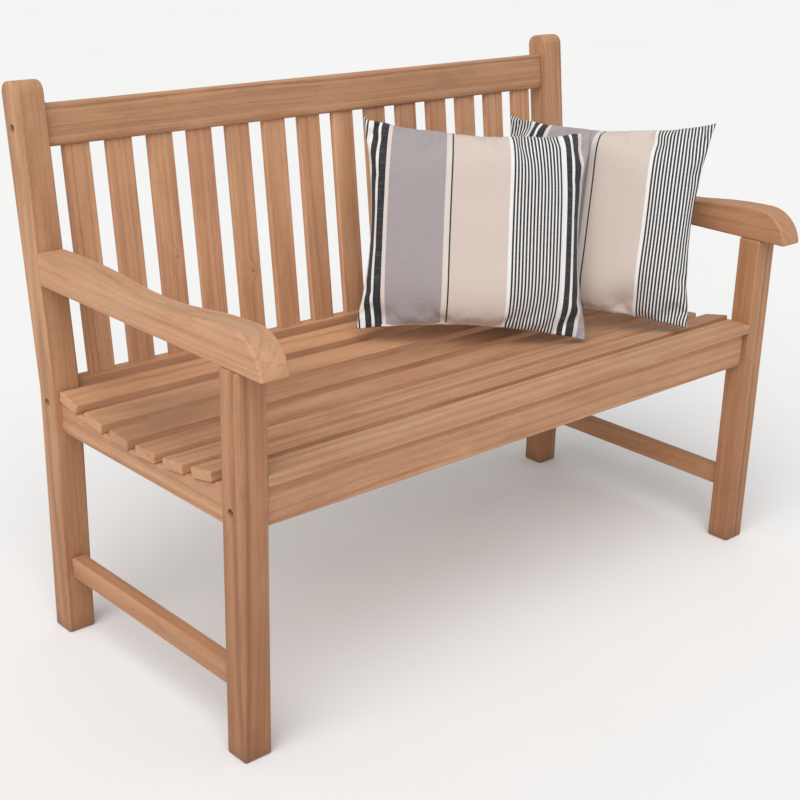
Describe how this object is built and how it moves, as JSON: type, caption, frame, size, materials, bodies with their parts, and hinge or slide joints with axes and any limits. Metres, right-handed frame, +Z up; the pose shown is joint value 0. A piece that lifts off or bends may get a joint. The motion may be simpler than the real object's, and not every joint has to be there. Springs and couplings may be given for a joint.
{
  "type": "garden bench",
  "caption": "Slatted teak garden bench with a leaning back, dished seat, shaped armrests and loose striped scatter cushions.",
  "frame": {"origin": "on the ground, at the middle of the bench's length and depth", "axes": "+X along the bench to its left-hand end as seen by someone sitting, +Y from the front of the seat to the back, +Z up"},
  "size_m": [1.2, 0.6459, 0.903],
  "materials": {
    "teak": "oiled teak, satin, eased edges",
    "hardware": "brushed stainless steel",
    "cushion_fabric": "woven cotton, off-white with grey, beige and black stripes"
  },
  "bodies": {
    "bench": {"arm_pins": "teak", "armrest_left": "teak", "armrest_right": "teak", "back_post_left": "teak", "back_post_right": "teak", "back_slat_01": "teak", "back_slat_02": "teak", "back_slat_03": "teak", "back_slat_04": "teak", "back_slat_05": "teak", "back_slat_06": "teak", "back_slat_07": "teak", "back_slat_08": "teak", "back_slat_09": "teak", "back_slat_10": "teak", "back_slat_11": "teak", "back_slat_12": "teak", "back_slat_13": "teak", "back_slat_14": "teak", "barrel_nuts": "hardware", "bolt_washers": "hardware", "centre_bearer": "teak", "crest_rail": "teak", "frame_bolts": "hardware", "front_apron": "teak", "front_leg_left": "teak", "front_leg_right": "teak", "front_seat_slat": "teak", "locating_dowels": "teak", "lower_back_rail": "teak", "seat_screws": "hardware", "seat_slat_1": "teak", "seat_slat_2": "teak", "seat_slat_3": "teak", "seat_slat_4": "teak", "seat_slat_5": "teak", "seat_slat_6": "teak", "side_rail_left": "teak", "side_rail_right": "teak", "stretcher_left": "teak", "stretcher_right": "teak"},
    "cushion_left": {"scatter_cushion_left": "cushion_fabric"},
    "cushion_right": {"scatter_cushion_right": "cushion_fabric"}
  },
  "joints": [
    {"name": "cushion_left_lift", "type": "slide", "parent": "bench", "child": "cushion_left", "axis": [0, 0, 1], "range_m": [0, 0.5]},
    {"name": "cushion_right_lift", "type": "slide", "parent": "bench", "child": "cushion_right", "axis": [0.3505, 0.1, 0.9312], "range_m": [0, 0.5]}
  ]
}
